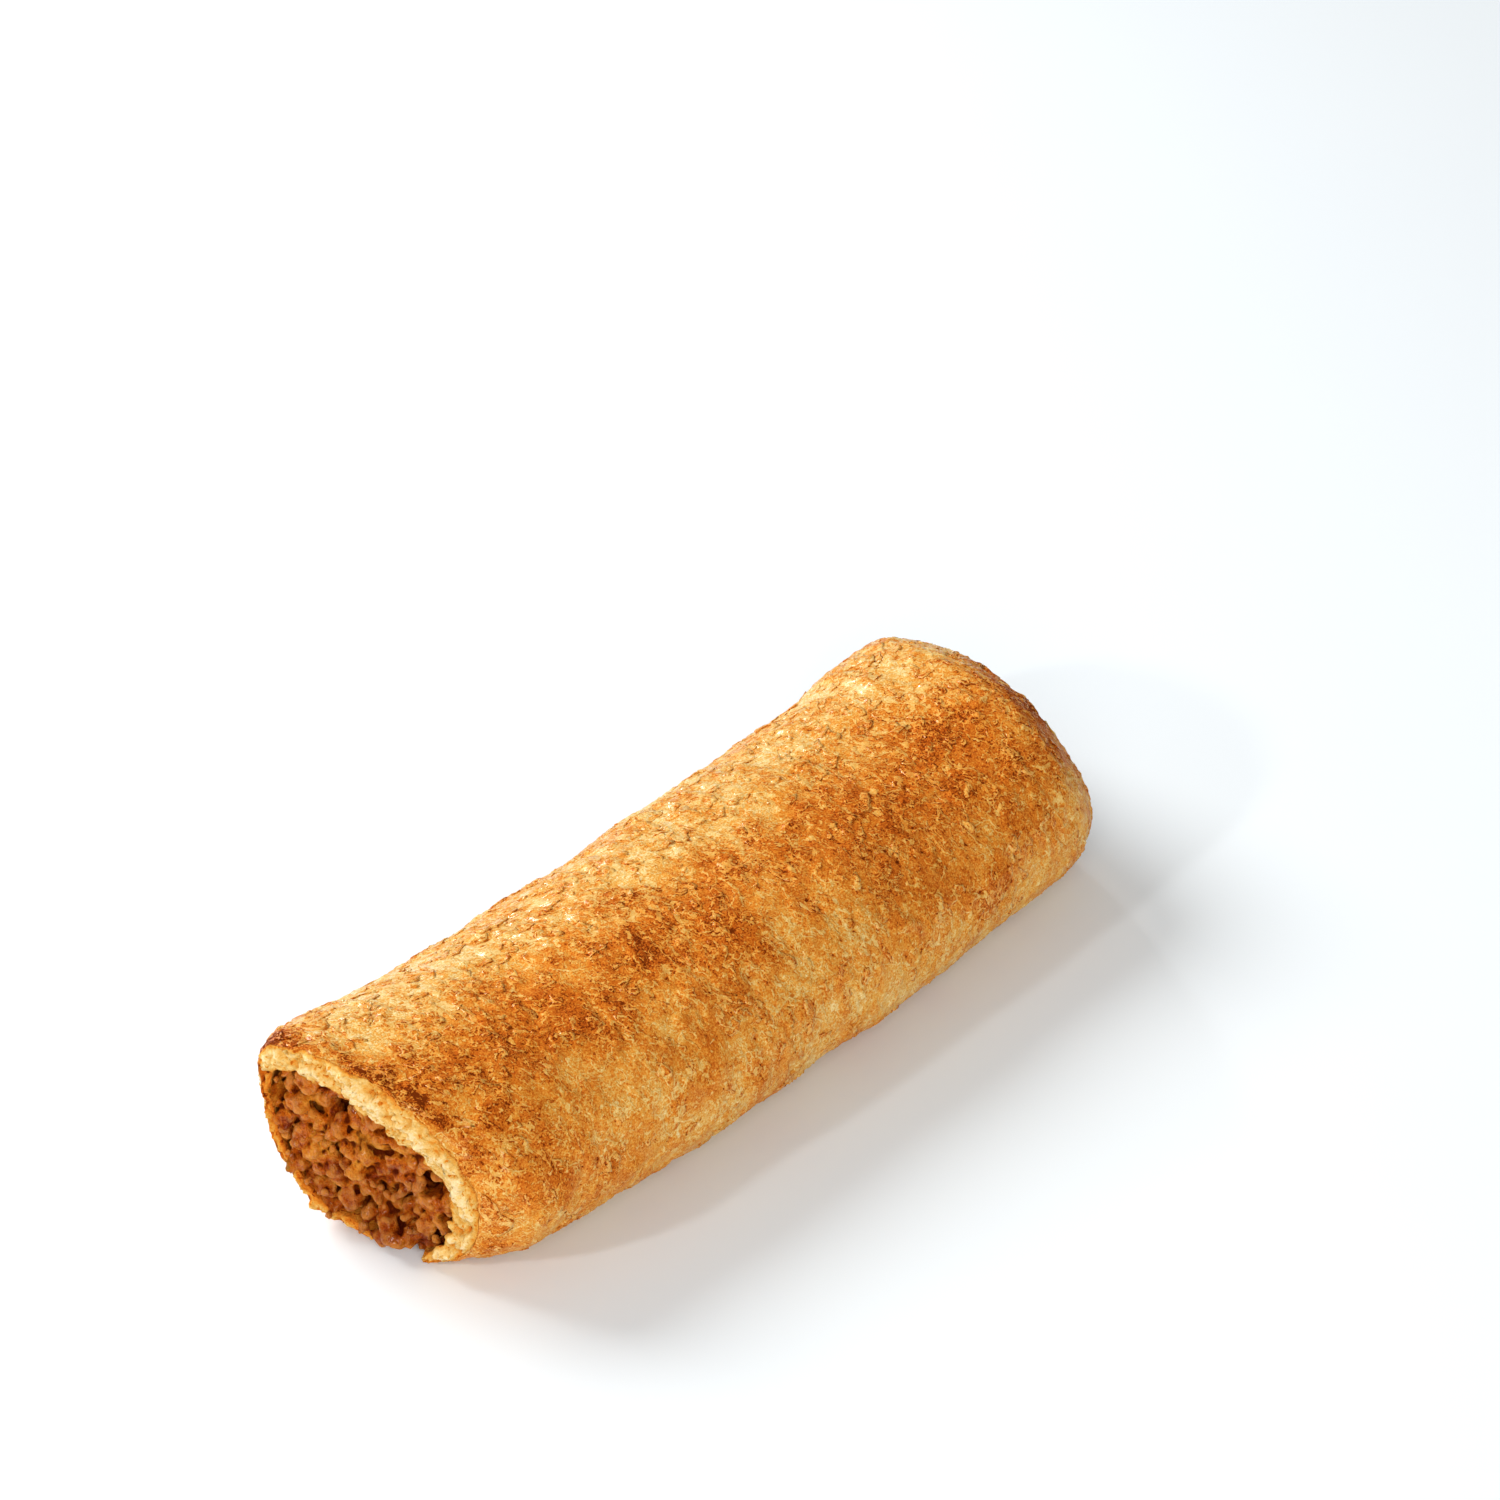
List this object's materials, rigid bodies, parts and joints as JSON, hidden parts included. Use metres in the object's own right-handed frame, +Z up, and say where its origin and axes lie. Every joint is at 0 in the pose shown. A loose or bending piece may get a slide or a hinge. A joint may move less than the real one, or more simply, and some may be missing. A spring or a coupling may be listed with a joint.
{
  "type": "sausage roll",
  "caption": "Hand-size baked roll of flaky golden pastry round a core of seasoned mince that shows at both open ends.",
  "frame": {"origin": "middle of the roll's footprint, on the surface it lies on", "axes": "+X along the roll, towards the end that is further from the notch; +Y across it; +Z up, with the seam underneath"},
  "size_m": [0.1528, 0.055, 0.0356],
  "materials": {
    "pastry": "flaky egg-washed crust, golden to orange brown, pale cream where it is cut",
    "mince": "moist crumbly cooked mince, orange brown with dark crevices"
  },
  "bodies": {
    "root": {"pastry": "pastry", "filling": "mince"}
  },
  "joints": []
}
